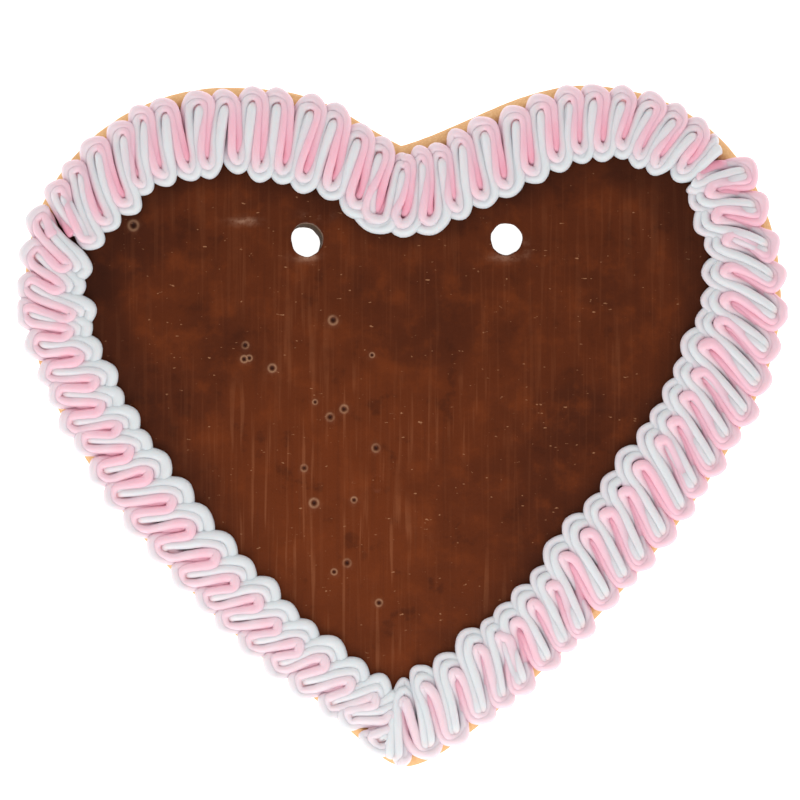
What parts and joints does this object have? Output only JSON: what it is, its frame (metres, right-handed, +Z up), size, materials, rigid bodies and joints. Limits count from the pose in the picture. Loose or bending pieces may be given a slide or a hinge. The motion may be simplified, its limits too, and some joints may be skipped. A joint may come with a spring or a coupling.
{
  "type": "gingerbread heart",
  "caption": "Flat glazed gingerbread heart with ribbon holes and a piped border of pink and white icing; lies on its underside.",
  "frame": {"origin": "under the middle of the bounding box, in the plane of the flat underside", "axes": "+Z up out of the iced side; +Y from the tip to the lobes; +X to the right of the heart as its iced side is seen"},
  "size_m": [0.2012, 0.1783, 0.0146],
  "materials": {
    "baked_dough": "dark brown baked dough with a thin satin glaze",
    "icing": "dried royal icing, pink and white strands in one stroke"
  },
  "bodies": {
    "root": {"gingerbread": "baked_dough", "icing_top": "icing", "icing_right": "icing", "icing_left": "icing"}
  },
  "joints": []
}
